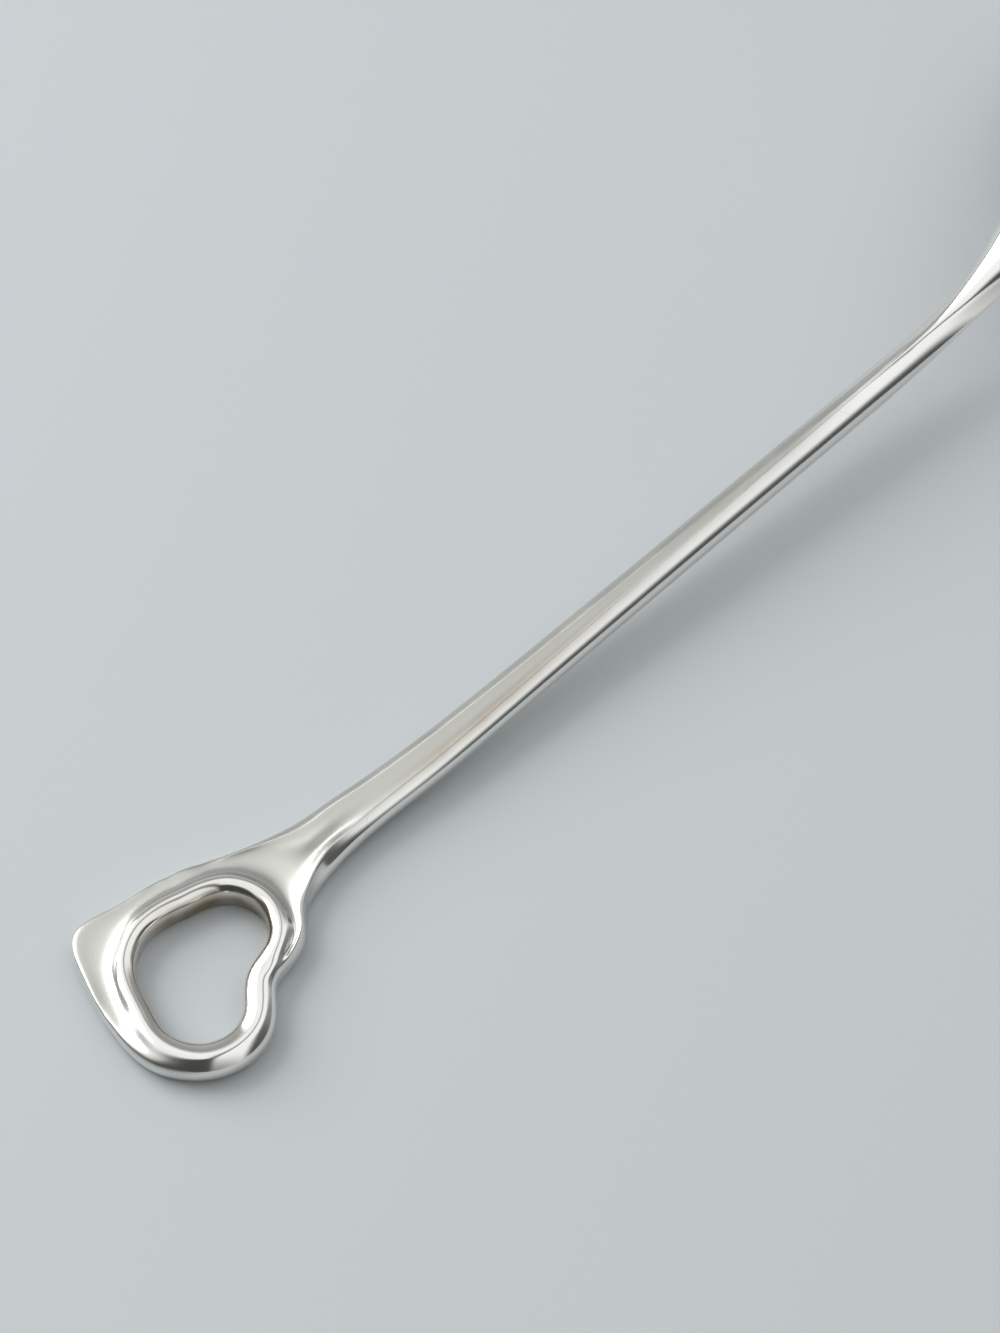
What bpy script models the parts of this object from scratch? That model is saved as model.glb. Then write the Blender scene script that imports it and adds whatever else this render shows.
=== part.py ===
"""A silver teaspoon with a heart-shaped finger loop, lying face down.

Lengths are in metres. +X runs along the stem from the loop to the bowl, +Z is up and the spoon's back
faces up. The whole spoon is one smooth form: a coarse cage with Subdivision Surface. The loop, the stem
and the bowl are that form between the two soldered joints, and the solder films fill the joints.
"""
from math import cos, pi, radians, sin, sqrt, tan

import bmesh
import bpy
import numpy as np
from mathutils import Matrix

MM = 0.001

# Finger loop: a textbook heart, which is a square standing on its tip with a half circle on each upper side
HEART_SIDE = 9.2 * MM
HEART_TURN = radians(121.0)
LOBE_SIDEWAYS = -0.6 * MM
RING_THICKNESS = 2.8 * MM
TIP_ROUNDING = 6.2 * MM
CLEFT_FILL = 0.7 * MM
REST_FLAT_DEPTH = 0.2 * MM

# Web: the flat plate, lower than the ring's crown, that fills the loop's tip corner, lines both flanks and
# leads into the stem. Beside it the ring is a slimmer bead
WEB_DROP = 0.7 * MM
TIP_CORNER_REACH = 3.6 * MM
FLANK_SHELF = 0.3 * MM
END_FLANK_SHELF = 0.6 * MM
TIP_EDGE_BOW = 0.4 * MM
TIP_WALL_BULGE = 0.1 * MM
ROOT_WALL_BULGE = 0.4 * MM
WEB_FOOT_INSET = 0.55 * MM
WEB_FILLET_RISE = 0.1 * MM

# Stem: flat on the back, with round sides that start at a crease; at the root its right edge is a raised
# rail that runs on beside the ring
ROOT_BLEND_LENGTH = 3.3 * MM
STEM_LENGTH = 59.0 * MM
FLAT_WIDTH_AT_ROOT = 2.5 * MM
FLAT_WIDTH_AT_NECK = 0.5 * MM
THICKNESS_AT_ROOT = 2.2 * MM
THICKNESS_AT_NECK = 3.0 * MM
LIFT_AT_ROOT = 0.1 * MM
LIFT_AT_NECK = 3.2 * MM
ROOT_SWAY = 1.1 * MM
SWAY_LENGTH = 18.0 * MM
ROOT_FLARE = 0.9 * MM
FLARE_LENGTH = 7.0 * MM
RAIL_RISE = 0.3 * MM
RAIL_REACHES = (1.15 * MM, 0.8 * MM)
RAIL_WALL_BULGE = 0.3 * MM
RAIL_SCOOP = 0.15 * MM
RAIL_LENGTH = 7.5 * MM
CREASE_TILT = radians(16.0)

# Bowl: an egg-shaped outline whose rim slopes down to the tip
SHOULDER_LENGTH = 41.0 * MM
FRONT_LENGTH = 24.5 * MM
BOWL_WIDTH = 30.0 * MM
BOWL_DEPTH = 8.0 * MM
BOWL_WALL = 1.3 * MM
RIM_TILT = radians(11.3)
NECK_BLEND_LENGTH = 18.5 * MM
HOLLOW_RUN_IN = 20.4 * MM

# Soldered joints: a V at the loop and a slanting scarf at the neck
V_JOINT_DISTANCE = 3.0 * MM
V_JOINT_DEPTH = 4.0 * MM
SCARF_LENGTH = 6.0 * MM
SOLDER_FILM = 0.2 * MM
SOLDER_CLEARANCE = 0.03 * MM

# Colours and finish
SILVER = (0.86, 0.85, 0.82, 1.0)
SILVER_ROUGHNESS = 0.12
SOLDER = (0.80, 0.79, 0.76, 1.0)
SOLDER_ROUGHNESS = 0.18

# Form factors: shares and powers that shape the curves
SIDE_RADIUS_SHARE = 0.56
FLAT_TAPER_POWER = 1.7
SHOULDER_POWER = 5.5
NECK_RIM_SHARE = 0.42
NECK_HOLLOW_SHARE = 0.2
WEB_FILLET_TURN = 30.0
WEB_FILLET_SHARE = 0.62
ROOT_REACH_SHARES = (0.62, 0.8, 0.88, 0.8, 0.62)
ROOT_RAIL_SHARES = (0.0, 0.0, 0.0, 0.3, 0.8)
RAIL_END_SHARES = (0.9, 0.5)
BEAD_SLIM_SHARE = 0.25
BEAD_SQUARENESS = 1.0

# The cage's rows and columns: turns in degrees and shares of a length
RING_PLACES = ("inner foot", "inner wall", "inner top", "crown", "fillet", "edge", "wall top", "wall foot",
               "foot", "bottom")
WEB_PLACES = ("edge", "wall top", "wall foot", "foot")
BEAD_INNER_TURNS = (-140, 180, 132, 86)
BEAD_OUTER_TURNS = (60, 30, 3, -24, -54)
BEAD_BOTTOM_TURN = -95
WEB_WALL_SHARES = (0.72, 0.38, 0.07)
STEM_SIDE_TURNS = (48, 88, 135)
STEM_ROWS = (0.0, 0.055, 0.125, 0.215, 0.335, 0.47, 0.605, 0.74, 0.875, 1.0)
BOWL_ROWS = (0.13, 0.25, 0.37, 0.49, 0.61, 0.74, 0.87, 1.0)
BACK_SHARES = [sin(radians(turn)) for turn in (52, 27, 0, -27, -52)]
HOLLOW_SHARES = [sin(radians(turn)) for turn in (-90, -46, 0, 46, 90)]
RIM_SHARE = sin(radians(78))
FRONT_ROWS = ((72, 0.33, 0.36), (54, 0.60, 0.68))
TIP_TURN = radians(36)
TIP_BACK_SHARE = BACK_SHARES[0]

# Creases along the cage's edges, from 0 for smooth to 1 for sharp
STEM_CREASE = 0.5
STEM_CREASE_NEAR_NECK = 0.35
ROOT_CREASE = 0.3
TIP_CREASE = 0.45
FLANK_CREASE = 0.15

SMOOTH_LEVELS = 1
FIT_ROUNDS = 14

# Worked-out sizes
LOBE_RADIUS = HEART_SIDE / 2
RING_RADIUS = RING_THICKNESS / 2
RING_CENTRE_HEIGHT = RING_RADIUS - REST_FLAT_DEPTH
WEB_HEIGHT = RING_THICKNESS - REST_FLAT_DEPTH - WEB_DROP
BACK_HEIGHT_AT_ROOT = LIFT_AT_ROOT + THICKNESS_AT_ROOT
BACK_HEIGHT_AT_NECK = LIFT_AT_NECK + THICKNESS_AT_NECK
ROOT_X = LOBE_RADIUS + RING_RADIUS + ROOT_BLEND_LENGTH
NECK_X = ROOT_X + STEM_LENGTH
WIDEST_X = NECK_X + SHOULDER_LENGTH
TIP_X = WIDEST_X + FRONT_LENGTH
CUTTER_REACH = 2 * (TIP_X + BOWL_WIDTH)


def heading(angle):
    """A unit vector in plan at this angle from the stem's axis."""
    return np.array((cos(angle), sin(angle)))


def mix(start, end, share):
    return start + (end - start) * share


def smoothstep(share):
    share = min(max(share, 0.0), 1.0)
    return share * share * (3 - 2 * share)


def fading(amount, x, length):
    """An amount that is whole at the stem's root and fades to nothing over a length."""
    return amount * max(1 - (x - ROOT_X) / length, 0.0) ** 2


# Finger loop

def heart_stations():
    """Points round the ring's centreline, each with its outward direction and the name of its stretch.

    Two shares follow: how slim the bead is there, and how much of the web there is on that stretch.
    """
    axis = HEART_TURN + pi
    towards_cleft = heading(axis)
    sideways = heading(axis + pi / 2)
    lobe_along = 3 * HEART_SIDE / (2 * sqrt(2))
    lobe_aside = HEART_SIDE / (2 * sqrt(2))
    stem_lobe = np.array((0.0, LOBE_SIDEWAYS))
    tip = stem_lobe - towards_cleft * lobe_along - sideways * lobe_aside
    end_lobe = tip + towards_cleft * lobe_along - sideways * lobe_aside
    cleft = tip + towards_cleft * HEART_SIDE * sqrt(2)
    tip_centre = tip + towards_cleft * TIP_ROUNDING * sqrt(2)
    flank_normal = axis + radians(135)
    end_flank_normal = axis - radians(135)
    stations = []

    def stand(centre, radius, angle, stretch, slim=0.0, web_share=1.0):
        stations.append((centre + heading(angle) * radius, heading(angle), stretch, slim, web_share))

    stand(stem_lobe, LOBE_RADIUS, flank_normal, "flank", 1.0)
    for turn in (22.5, 40.5, 58.5, 76.5, 94.5):
        stand(stem_lobe, LOBE_RADIUS, flank_normal - radians(turn), "stem", 1.0)
    for turn, stretch, slim in ((116, "rail", 0.8), (137, "rail", 0.75), (158, "plain", 0.6)):
        stand(stem_lobe, LOBE_RADIUS, flank_normal - radians(turn), stretch, slim)
    stand(cleft, CLEFT_FILL, axis, "plain", 0.45)
    for turn, slim in ((157.5, 0.3), (135, 0.15), (112.5, 0.0), (90, 0.0), (67.5, 0.0)):
        stand(end_lobe, LOBE_RADIUS, end_flank_normal + radians(turn), "plain", slim)
    for turn, web_share in ((45, 0.15), (22.5, 0.4), (0, 0.7)):
        stand(end_lobe, LOBE_RADIUS, end_flank_normal + radians(turn), "flank", 0.1, web_share)
    flank_middle = (HEART_SIDE + TIP_ROUNDING) / 2
    on_end_flank = tip + heading(end_flank_normal + pi / 2) * flank_middle
    stand(on_end_flank, 0.0, end_flank_normal, "flank", 0.3, 0.9)
    tip_table = ((0, "flank", 0.6), (22.5, "tip side", 0.8), (45, "tip", 1.0), (67.5, "tip side", 1.0),
                 (90, "flank", 1.0))
    for turn, stretch, slim in tip_table:
        stand(tip_centre, TIP_ROUNDING, end_flank_normal - radians(turn), stretch, slim)
    on_stem_flank = tip + heading(flank_normal - pi / 2) * flank_middle
    stand(on_stem_flank, 0.0, flank_normal, "flank", 1.0)
    return stations


def ring_section(point, outward, slim, web_share, web_reach=0.0, web_bulge=0.0, rail_rise=0.0):
    """Ten points round the ring: up the inner wall, over the crown, down the outer wall, and the bottom.

    A slim bead is squarer, and keeps its inner wall where it is, so that the hole stays a heart.
    """
    half_width = RING_RADIUS * (1 - BEAD_SLIM_SHARE * slim)

    def at(across, height):
        return (*(point + outward * across), height)

    def round_at(turn):
        around = heading(radians(turn))
        across, up = np.sign(around) * abs(around) ** (2 / (2 + BEAD_SQUARENESS * slim))
        return at(half_width * (1 + across) - RING_RADIUS, RING_CENTRE_HEIGHT + RING_RADIUS * up)

    inner = [round_at(turn) for turn in BEAD_INNER_TURNS]
    outer = np.array([round_at(turn) for turn in BEAD_OUTER_TURNS])
    if web_reach:
        bead_side = half_width * (1 + cos(radians(WEB_FILLET_TURN))) - RING_RADIUS
        fillet = min(bead_side, web_reach * WEB_FILLET_SHARE)
        wall = web_reach + web_bulge
        upper, lower, foot = (WEB_HEIGHT * share for share in WEB_WALL_SHARES)
        plate = [at(fillet, WEB_HEIGHT + WEB_FILLET_RISE), at(web_reach, WEB_HEIGHT + rail_rise),
                 at(wall, upper), at(wall, lower), at(wall - WEB_FOOT_INSET, foot)]
        outer = mix(outer, np.array(plate), web_share)
    return inner + [*outer, round_at(BEAD_BOTTOM_TURN)]


# Stem

def stem_middle(x):
    """How far to the left the middle of the stem's back lies: it sways at the root."""
    return fading(ROOT_SWAY, x, SWAY_LENGTH)


def stem_section(x):
    """Fourteen points round the stem: five on the back, two on the right, five below, two on the left."""
    share = (x - ROOT_X) / STEM_LENGTH
    on_stem = min(share, 1.0)
    flat = mix(FLAT_WIDTH_AT_NECK, FLAT_WIDTH_AT_ROOT, (1 - on_stem) ** FLAT_TAPER_POWER)
    thickness = mix(THICKNESS_AT_ROOT, THICKNESS_AT_NECK, smoothstep(on_stem))
    top = mix(BACK_HEIGHT_AT_ROOT, BACK_HEIGHT_AT_NECK, share)
    floor = top - thickness
    radius = thickness * SIDE_RADIUS_SHARE
    middle = stem_middle(x)
    flare = fading(ROOT_FLARE, x, FLARE_LENGTH)

    def side(turn):
        angle = radians(turn)
        out = flat / 2 + radius * (sin(angle) - sin(CREASE_TILT))
        return out, top + radius * (cos(angle) - cos(CREASE_TILT))

    half = [(flat / 2, top), *(side(turn) for turn in STEM_SIDE_TURNS)]
    left = [(x, middle + out, height) for out, height in half]
    right = [(x, middle - out - flare, height) for out, height in half]
    right[0] = (*right[0][:2], top + fading(RAIL_RISE, x, RAIL_LENGTH))

    def between(start, end, height):
        return [start, *((x, mix(start[1], end[1], place), height) for place in (0.25, 0.5, 0.75)), end]

    back = between(left[0], right[0], top)
    back[3] = (*back[3][:2], top - fading(RAIL_SCOOP, x, RAIL_LENGTH))
    below = between(right[3], left[3], floor)
    return back + right[1:3] + below + left[2:0:-1]


# Bowl

def rim_plane(x):
    """Height of the tilted plane that the rim lies in."""
    return tan(RIM_TILT) * (TIP_X - x)


def ridge_height(x):
    """Height of the back's middle line from the neck to the widest place.

    It leaves the neck along the stem, and meets the front's ellipse with the same slope and bend.
    """
    share = (x - NECK_X) / SHOULDER_LENGTH
    rest = 1 - share
    start_slope = (BACK_HEIGHT_AT_NECK - BACK_HEIGHT_AT_ROOT) / STEM_LENGTH * SHOULDER_LENGTH
    end_slope = -tan(RIM_TILT) * SHOULDER_LENGTH
    end_bend = -(BOWL_DEPTH + BOWL_WALL) * (SHOULDER_LENGTH / FRONT_LENGTH) ** 2
    end = rim_plane(WIDEST_X) + BOWL_DEPTH + BOWL_WALL
    height = mix(BACK_HEIGHT_AT_NECK, end, share ** 3 * (10 - 15 * share + 6 * share ** 2))
    height += start_slope * share * rest ** 3 * (1 + 3 * share)
    height -= end_slope * share ** 3 * rest * (4 - 3 * share)
    return height + end_bend * share ** 3 * rest ** 2 / 2


def rim_height(x):
    if x > WIDEST_X:
        return rim_plane(x)
    return min(rim_plane(x), ridge_height(x) - THICKNESS_AT_NECK / 2)


def front_fall(x, inset):
    """The ellipse of the front half's outline and dome, from 1 at the widest place to 0 at the tip."""
    return sqrt(max(1 - ((x - WIDEST_X) / (FRONT_LENGTH - inset)) ** 2, 0.0))


def rim_half_width(x, inset=0.0):
    widest = BOWL_WIDTH / 2 - inset
    if x > WIDEST_X:
        return widest * front_fall(x, inset)
    neck = max(THICKNESS_AT_NECK * NECK_RIM_SHARE - inset, THICKNESS_AT_NECK * NECK_HOLLOW_SHARE)
    end_bend = -(SHOULDER_LENGTH / (FRONT_LENGTH - inset)) ** 2 * widest / (widest - neck)
    return mix(neck, widest, shoulder_growth((x - NECK_X) / SHOULDER_LENGTH, end_bend))


def shoulder_growth(share, end_bend):
    """From 0 at the neck, late and smoothly to 1 at the widest place, and level there with this bend."""
    square = (end_bend + SHOULDER_POWER ** 2 + SHOULDER_POWER) / 2
    linear = -SHOULDER_POWER - 2 * square
    level = 1 - linear - square
    return share ** SHOULDER_POWER * (level + linear * share + square * share ** 2)


def ridge_rise(x, inset=0.0):
    """Height of the dome's middle line above the rim, outside, or inside with the wall as the inset."""
    if x > WIDEST_X:
        return (BOWL_DEPTH + BOWL_WALL - inset) * front_fall(x, inset)
    rise = ridge_height(x) - rim_height(x)
    if inset:
        rise -= mix(THICKNESS_AT_NECK, inset, smoothstep((x - NECK_X) / HOLLOW_RUN_IN))
    return rise


def dome_point(x, y, inset=0.0):
    spread = min(abs(y) / rim_half_width(x, inset), 1.0)
    return x, y, rim_height(x) + ridge_rise(x, inset) * sqrt(1 - spread ** 2)


def bowl_section(x):
    """The same fourteen points round the bowl: back, right rim, hollow, left rim."""
    width = rim_half_width(x)
    inside = rim_half_width(x, BOWL_WALL)
    back = [dome_point(x, width * share) for share in BACK_SHARES]
    hollow = [dome_point(x, inside * share, BOWL_WALL) for share in HOLLOW_SHARES]
    right = [dome_point(x, -width * RIM_SHARE), (x, -width, rim_height(x))]
    left = [(x, width, rim_height(x)), dome_point(x, width * RIM_SHARE)]
    return back + right + hollow + left


def neck_section(x):
    """Between stem and bowl, one section turns into the other."""
    share = smoothstep((x - NECK_X) / NECK_BLEND_LENGTH)
    pairs = zip(np.array(stem_section(x)), np.array(bowl_section(x)))
    return [tuple(mix(stem, bowl, share)) for stem, bowl in pairs]


def front_point(turn, share, inset=0.0):
    """A point of the bowl's front half: turn from its axis, share of the way from the centre to the rim."""
    x = WIDEST_X + (FRONT_LENGTH - inset) * cos(turn) * share
    y = (BOWL_WIDTH / 2 - inset) * sin(turn) * share
    if share == 1.0:
        return x, y, rim_height(x)
    return dome_point(x, y, inset)


def front_back(turn, ridge_share):
    """Five points over the front half's back, in a line that bows towards the tip."""
    return front_line(front_point(turn, BACK_SHARES[0]), ridge_share, 0.0)


def front_hollow(turn, ridge_share):
    return front_line(front_point(turn, 1.0, BOWL_WALL), ridge_share, BOWL_WALL)[::-1]


def front_line(side, ridge_share, inset):
    ridge_x = WIDEST_X + (FRONT_LENGTH - inset) * ridge_share
    places = (1.0, 0.52, 0.0, -0.52, -1.0)
    return [dome_point(mix(ridge_x, side[0], place ** 2), side[1] * place, inset) for place in places]


def front_section(turn, back, hollow):
    """A section of the front half: its back, right rim, hollow and left rim."""
    right = [front_point(-turn, RIM_SHARE), front_point(-turn, 1.0)]
    left = [front_point(turn, 1.0), front_point(turn, RIM_SHARE)]
    return back + right + hollow + left


# The smooth form

def build_form():
    """The cage of the whole spoon, with its creases, as an object with Subdivision Surface."""
    bm = bmesh.new()
    crease = bm.edges.layers.float.new("crease_edge")

    def row_of(points):
        return [bm.verts.new(point) for point in points]

    def join(first, second, closed=True):
        count = len(first)
        for number in range(count if closed else count - 1):
            after = (number + 1) % count
            bm.faces.new((first[number], first[after], second[after], second[number]))

    def crease_along(chain, sharpness):
        for first, second in zip(chain, chain[1:]):
            bm.edges.get((first, second))[crease] = sharpness

    # The ring's sections, with the web where the tip corner and the stem are
    stations = heart_stations()
    stretches = [station[2] for station in stations]
    corner = stretches.index("tip")
    root = [number for number, stretch in enumerate(stretches) if stretch == "stem"]
    rail = [number for number, stretch in enumerate(stretches) if stretch == "rail"]
    root_reach = {number: share * RING_THICKNESS for number, share in zip(root, ROOT_REACH_SHARES)}
    rail_reach = dict(zip(rail, RAIL_REACHES))
    rail_share = dict(zip(root + rail, ROOT_RAIL_SHARES + RAIL_END_SHARES))
    corner_point = stations[corner][0] + stations[corner][1] * TIP_CORNER_REACH
    ring = []
    for number, (point, outward, stretch, slim, web_share) in enumerate(stations):
        reach = 0.0
        bulge = TIP_WALL_BULGE
        on_end_side = rail[-1] < number < corner
        flank_reach = RING_RADIUS + (END_FLANK_SHELF if on_end_side else FLANK_SHELF)
        rise = RAIL_RISE * rail_share.get(number, 0.0)
        if stretch == "tip":
            reach = TIP_CORNER_REACH
        elif stretch == "tip side":
            flank_point, flank_outward = stations[2 * number - corner][:2]
            flank_edge = flank_point + flank_outward * flank_reach
            reach = float(((corner_point + flank_edge) / 2 - point) @ outward)
            if on_end_side:
                reach += TIP_EDGE_BOW
        elif stretch == "flank":
            reach = flank_reach
        elif stretch == "rail":
            reach = rail_reach[number]
            bulge = RAIL_WALL_BULGE
        elif stretch == "stem":
            reach = root_reach[number]
            bulge = ROOT_WALL_BULGE
        ring.append(row_of(ring_section(point, outward, slim, web_share, reach, bulge, rise)))

    # The ring's faces, left open at the root between the web's top edge and its foot
    edge, wall_top, wall_foot, foot = (RING_PLACES.index(name) for name in WEB_PLACES)
    for number, section in enumerate(ring):
        following = ring[(number + 1) % len(ring)]
        opens = number in root[:-1]
        for place in range(len(section)):
            if opens and edge <= place < foot:
                continue
            after = (place + 1) % len(section)
            bm.faces.new((section[place], following[place], following[after], section[after]))
    attached = [ring[number] for number in root]
    first, last = attached[0], attached[-1]
    mouth = ([section[edge] for section in attached] + [last[wall_top], last[wall_foot]]
             + [section[foot] for section in reversed(attached)] + [first[wall_foot], first[wall_top]])
    for section in attached[1:-1]:
        bmesh.ops.delete(bm, geom=[section[wall_top], section[wall_foot]], context="VERTS")

    # The stem and the bowl
    stem_rows = [row_of(stem_section(ROOT_X + STEM_LENGTH * share)) for share in STEM_ROWS]
    bowl_rows = [row_of(neck_section(NECK_X + SHOULDER_LENGTH * share)) for share in BOWL_ROWS]
    for degrees, back_share, hollow_share in FRONT_ROWS:
        turn = radians(degrees)
        section = front_section(turn, front_back(turn, back_share), front_hollow(turn, hollow_share))
        bowl_rows.append(row_of(section))
    tip_hollow = [front_point(TIP_TURN * place, 1.0, BOWL_WALL) for place in (-1, -0.5, 0, 0.5, 1)]
    end = row_of(front_section(TIP_TURN, front_back(TIP_TURN, TIP_BACK_SHARE), tip_hollow))
    rows = [mouth] + stem_rows + bowl_rows + [end]
    for before, after in zip(rows, rows[1:]):
        join(before, after)

    # The bowl's tip, closed from the back over the rim to the hollow
    rim_rows = [end[0:5]]
    for share, left, right in ((RIM_SHARE, end[13], end[5]), (1.0, end[12], end[6])):
        middle = row_of([front_point(TIP_TURN * place, share) for place in (0.5, 0, -0.5)])
        rim_rows.append([left] + middle + [right])
    rim_rows.append(end[11:6:-1])
    for before, after in zip(rim_rows, rim_rows[1:]):
        join(before, after, closed=False)

    # The creases: both edges of the flat back, the tip corner and the flank between them
    left_edge = [section[0] for section in stem_rows]
    right_edge = [section[4] for section in stem_rows]
    crease_along([first[edge]] + left_edge[:-2], STEM_CREASE)
    crease_along([last[edge]] + right_edge[:1], ROOT_CREASE)
    crease_along(right_edge[:-2], STEM_CREASE)
    for chain in (left_edge, right_edge):
        crease_along(chain[-3:-1], STEM_CREASE_NEAR_NECK)
    tip_edge = [ring[number % len(ring)][edge] for number in range(corner - 2, corner + 5)]
    crease_along(tip_edge[:5], TIP_CREASE)
    crease_along(tip_edge[4:] + [first[edge]], FLANK_CREASE)

    bmesh.ops.recalc_face_normals(bm, faces=bm.faces)
    mesh = bpy.data.meshes.new("spoon_form")
    bm.to_mesh(mesh)
    bm.free()
    made = bpy.data.objects.new("spoon_form", mesh)
    add_smoothing(made)
    return made


def add_smoothing(item):
    smoothing = item.modifiers.new("Smooth", "SUBSURF")
    smoothing.levels = SMOOTH_LEVELS
    smoothing.render_levels = SMOOTH_LEVELS


def evaluated_points(item):
    bpy.context.view_layer.update()
    finished = item.evaluated_get(bpy.context.evaluated_depsgraph_get())
    mesh = finished.to_mesh()
    points = np.empty(len(mesh.vertices) * 3, np.float32)
    mesh.vertices.foreach_get("co", points)
    finished.to_mesh_clear()
    return points.reshape(-1, 3)


def fit_cage(item):
    """Push the cage out until the smoothed surface passes through the points it was drawn with."""
    count = len(item.data.vertices)
    wanted = np.empty(count * 3, np.float32)
    item.data.vertices.foreach_get("co", wanted)
    wanted = wanted.reshape(-1, 3)
    cage = wanted.copy()
    for _ in range(FIT_ROUNDS):
        cage += wanted - evaluated_points(item)[:count]
        item.data.vertices.foreach_set("co", cage.ravel())
        item.data.update()
    miss = np.linalg.norm(wanted - evaluated_points(item)[:count], axis=1).max()
    print("the smooth surface passes the drawn points within", round(float(miss) / MM, 4), "mm")


def centre_form(item):
    """Put the middle of the spoon's length at the origin, and say how far it moved."""
    reached = evaluated_points(item)
    middle = float(reached[:, 0].min() + reached[:, 0].max()) / 2
    item.data.transform(Matrix.Translation((-middle, 0, 0)))
    return middle


# Joints and pieces

def hide_as_cutter(item):
    cutters.objects.link(item)
    item.hide_render = True
    item.display_type = "WIRE"
    return item


def prism(name, corners, along):
    """A closed cutter: a flat outline drawn out along a direction."""
    bm = bmesh.new()
    face = bm.faces.new([bm.verts.new(corner) for corner in corners])
    drawn = bmesh.ops.extrude_face_region(bm, geom=[face])
    moved = [item for item in drawn["geom"] if isinstance(item, bmesh.types.BMVert)]
    bmesh.ops.translate(bm, verts=moved, vec=along)
    bmesh.ops.recalc_face_normals(bm, faces=bm.faces)
    mesh = bpy.data.meshes.new(name)
    bm.to_mesh(mesh)
    bm.free()
    return hide_as_cutter(bpy.data.objects.new(name, mesh))


def plan_prism(name, outline):
    return prism(name, [(x, y, -CUTTER_REACH) for x, y in outline], (0, 0, 2 * CUTTER_REACH))


def side_prism(name, outline):
    return prism(name, [(x, -CUTTER_REACH, z) for x, z in outline], (0, 2 * CUTTER_REACH, 0))


def v_line(shift):
    """The V-joint's line in plan, from left to right, moved along the stem."""
    place = ROOT_X + V_JOINT_DISTANCE
    x = place - middle_x + shift
    middle = stem_middle(place)
    side = (FLAT_WIDTH_AT_ROOT + THICKNESS_AT_ROOT) / 2 + ROOT_FLARE
    return [(x, CUTTER_REACH), (x, middle + side), (x + V_JOINT_DEPTH, middle), (x, middle - side),
            (x, -CUTTER_REACH)]


def scarf_line(shift):
    """The scarf's line in side view, from top to bottom, moved along the stem."""
    x = NECK_X - middle_x + shift
    above = BACK_HEIGHT_AT_NECK + THICKNESS_AT_NECK / 2
    under = LIFT_AT_NECK - THICKNESS_AT_NECK / 2
    return [(x - SCARF_LENGTH, CUTTER_REACH), (x - SCARF_LENGTH, above), (x + SCARF_LENGTH, under),
            (x + SCARF_LENGTH, -CUTTER_REACH)]


def material(name, colour, roughness):
    made = bpy.data.materials.new(name)
    made.use_nodes = True
    shader = made.node_tree.nodes["Principled BSDF"]
    shader.inputs["Base Color"].default_value = colour
    shader.inputs["Roughness"].default_value = roughness
    shader.inputs["Metallic"].default_value = 1.0
    return made


def piece(name, finish, *cuts):
    """One piece of the spoon: the smooth form inside its cutters."""
    made = bpy.data.objects.new(name, form.data.copy())
    parts.objects.link(made)
    add_smoothing(made)
    for operation, cutter in cuts:
        cut = made.modifiers.new(cutter.name, "BOOLEAN")
        cut.operation = operation
        cut.object = cutter
    made.data.materials.append(material(name, *finish))
    made.data.shade_smooth()


for old in list(bpy.data.objects):
    bpy.data.objects.remove(old, do_unlink=True)
parts = bpy.data.collections.new("teaspoon")
cutters = bpy.data.collections.new("teaspoon_cutters")
bpy.context.scene.collection.children.link(parts)
bpy.context.scene.collection.children.link(cutters)

form = hide_as_cutter(build_form())
fit_cage(form)
middle_x = centre_form(form)

half_film = SOLDER_FILM / 2
step = half_film + SOLDER_CLEARANCE
back_end = [(-CUTTER_REACH, -CUTTER_REACH), (-CUTTER_REACH, CUTTER_REACH)]
front_end = [(CUTTER_REACH, -CUTTER_REACH), (CUTTER_REACH, CUTTER_REACH)]
loop_space = plan_prism("loop_space", back_end + v_line(-step))
loop_film = plan_prism("loop_film", v_line(-half_film) + v_line(half_film)[::-1])
stem_front = plan_prism("stem_front", v_line(step) + front_end)
stem_end = side_prism("stem_end", back_end + scarf_line(-step))
bowl_film = side_prism("bowl_film", scarf_line(-half_film) + scarf_line(half_film)[::-1])
bowl_space = side_prism("bowl_space", scarf_line(step) + front_end)
table = side_prism("table", [(-CUTTER_REACH, -CUTTER_REACH), (CUTTER_REACH, -CUTTER_REACH),
                             (CUTTER_REACH, 0), (-CUTTER_REACH, 0)])

silver = (SILVER, SILVER_ROUGHNESS)
solder = (SOLDER, SOLDER_ROUGHNESS)
piece("finger_loop", silver, ("INTERSECT", loop_space), ("DIFFERENCE", table))
piece("loop_solder", solder, ("INTERSECT", loop_film))
piece("stem", silver, ("INTERSECT", stem_front), ("INTERSECT", stem_end))
piece("bowl_solder", solder, ("INTERSECT", bowl_film))
piece("bowl", silver, ("INTERSECT", bowl_space), ("DIFFERENCE", table))
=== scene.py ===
# %% [markdown]
# # A silver teaspoon with a heart-shaped finger loop
# The spoon lies face down, so its back is up. A silversmith would forge the bowl and the stem, cast
# the loop, and solder the three together. Polishing then hides the joints, and the eye sees one
# flowing piece of metal. So this lesson models one smooth form first, and only then cuts it at the
# joints into its pieces.

# %% Load the solids that the spoon is dressed on
from math import cos, pi, radians, sin, sqrt, tan

import bmesh
import bpy
import numpy as np
from mathutils import Matrix, Vector


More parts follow.
